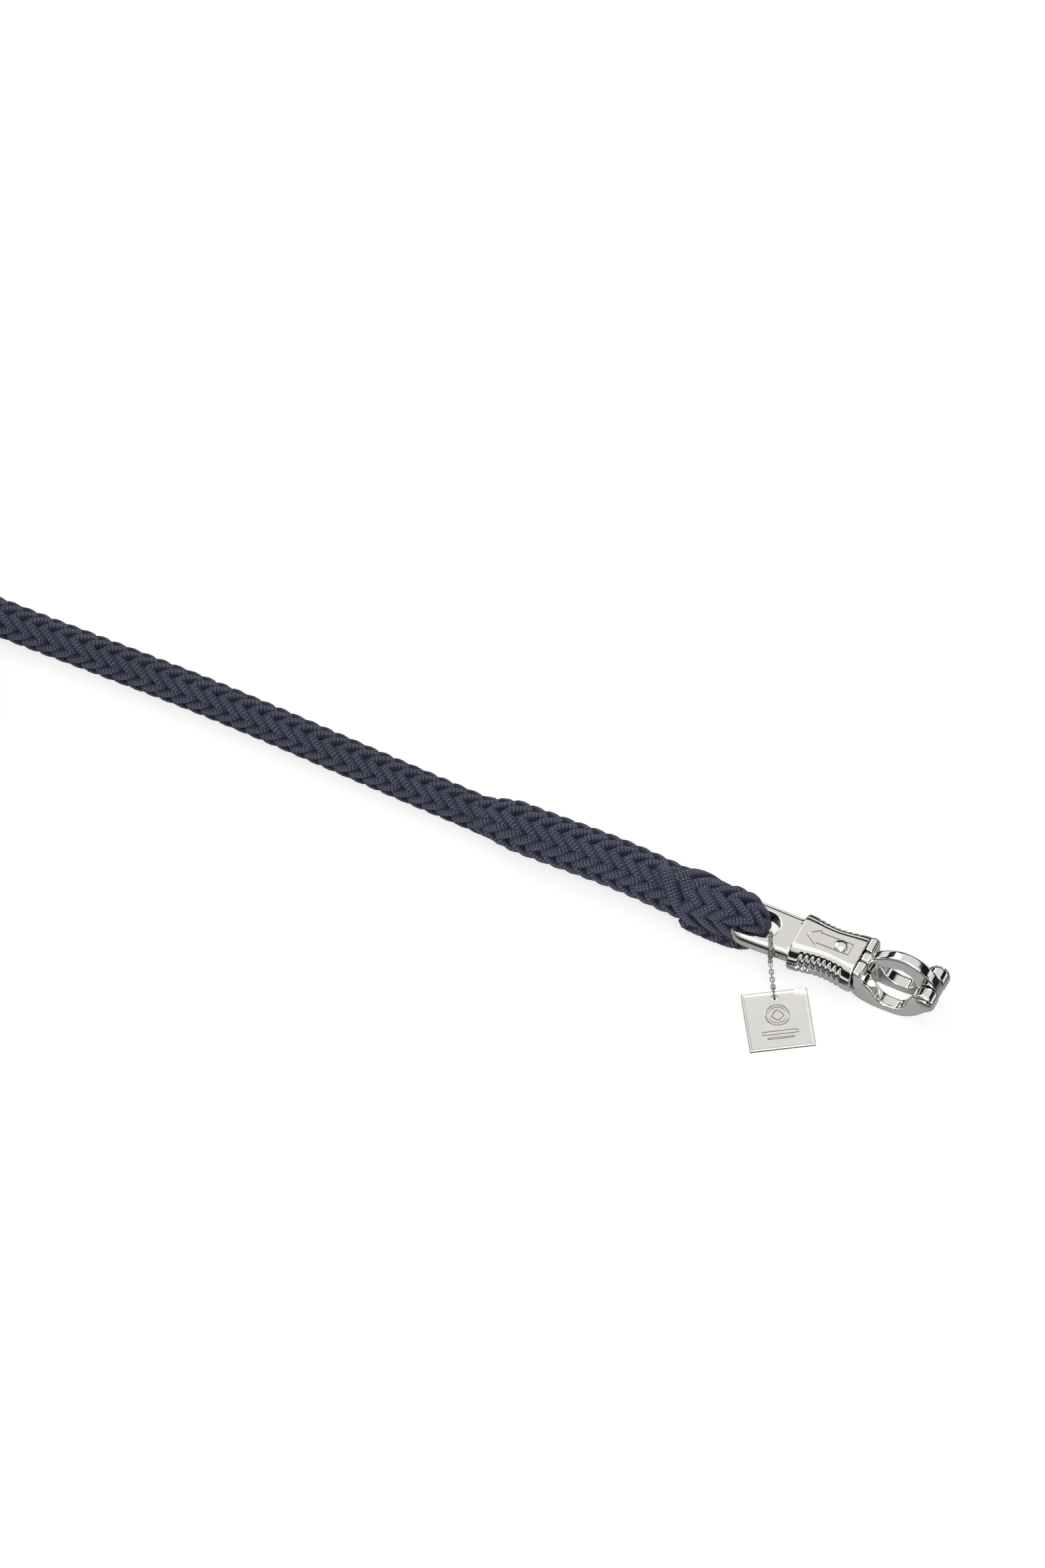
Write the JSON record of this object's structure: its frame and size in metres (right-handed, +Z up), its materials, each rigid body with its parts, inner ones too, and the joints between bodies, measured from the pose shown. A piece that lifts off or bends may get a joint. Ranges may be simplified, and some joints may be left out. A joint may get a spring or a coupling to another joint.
{
  "type": "lead rope",
  "caption": "Braided lead rope with a quick-release panic hook on its eye, a small square tag on a chain, and the spare length bound in a hank.",
  "frame": {"origin": "bottom centre of the hook, chain and tag, on the surface the object rests on", "axes": "+X along the hook towards its jaw, +Y across it away from the tag, +Z up"},
  "size_m": [0.8468, 0.1296, 0.0416],
  "materials": {
    "chrome": "polished",
    "steel": "satin",
    "tag_metal": "polished with a satin floor",
    "rope": "navy knitted braid",
    "whipping": "dark bound cord"
  },
  "bodies": {
    "rope": {"rope_eye": "rope", "rope_splice": "rope", "rope_run": "rope", "rope_hank": "rope", "hank_tie": "whipping", "rope_end": "whipping"},
    "hook": {"hook_frame": "chrome", "hinge_pin": "steel", "sleeve_spring": "steel", "rim_link_01": "steel", "rim_link_02": "steel", "rim_link_03": "steel", "rim_link_04": "steel", "rim_link_05": "steel", "rim_link_06": "steel", "rim_link_07": "steel", "rim_link_08": "steel", "rim_link_09": "steel", "rim_link_10": "steel", "rim_link_11": "steel", "rim_link_12": "steel", "rim_link_13": "steel", "rim_link_14": "steel", "rim_link_15": "steel", "rim_link_16": "steel", "rim_link_17": "steel", "rim_link_18": "steel", "rim_link_19": "steel", "rim_link_20": "steel", "rim_link_21": "steel", "rim_link_22": "steel", "rim_link_23": "steel", "rim_link_24": "steel"},
    "sleeve": {"release_sleeve": "chrome", "sleeve_rivet": "steel"},
    "bow": {"bow": "chrome"},
    "chain": {"tag_ring": "steel", "chain_link_01": "steel", "chain_link_02": "steel", "chain_link_03": "steel", "chain_link_04": "steel", "chain_link_05": "steel", "chain_link_06": "steel", "chain_link_07": "steel"},
    "tag": {"tag": "tag_metal"}
  },
  "joints": [
    {"name": "hook_swing", "type": "hinge", "parent": "rope", "child": "hook", "pos_m": [-0.05263, 0.02238, 0.0146], "axis": [0, 1, 0], "range_deg": [-60, 0]},
    {"name": "sleeve_slide", "type": "slide", "parent": "hook", "child": "sleeve", "axis": [1, 0, 0], "range_m": [-0.006, 0], "stiffness_N_per_m": 400, "springref_m": 0.004, "deforming": ["sleeve_spring"]},
    {"name": "bow_pivot", "type": "hinge", "parent": "hook", "child": "bow", "pos_m": [0.04912, 0.02238, 0.0175], "axis": [0, 1, 0], "range_deg": [0, 100]},
    {"name": "chain_swing", "type": "hinge", "parent": "hook", "child": "chain", "pos_m": [-0.02925, 0.00882, 0.01005], "axis": [0.8469, 0.5317, 0], "range_deg": [-38, 25]},
    {"name": "tag_flip", "type": "hinge", "parent": "chain", "child": "tag", "pos_m": [-0.02188, -0.00292, 0.0033], "axis": [0.8387, 0.5446, 0], "range_deg": [-80, 40]}
  ]
}
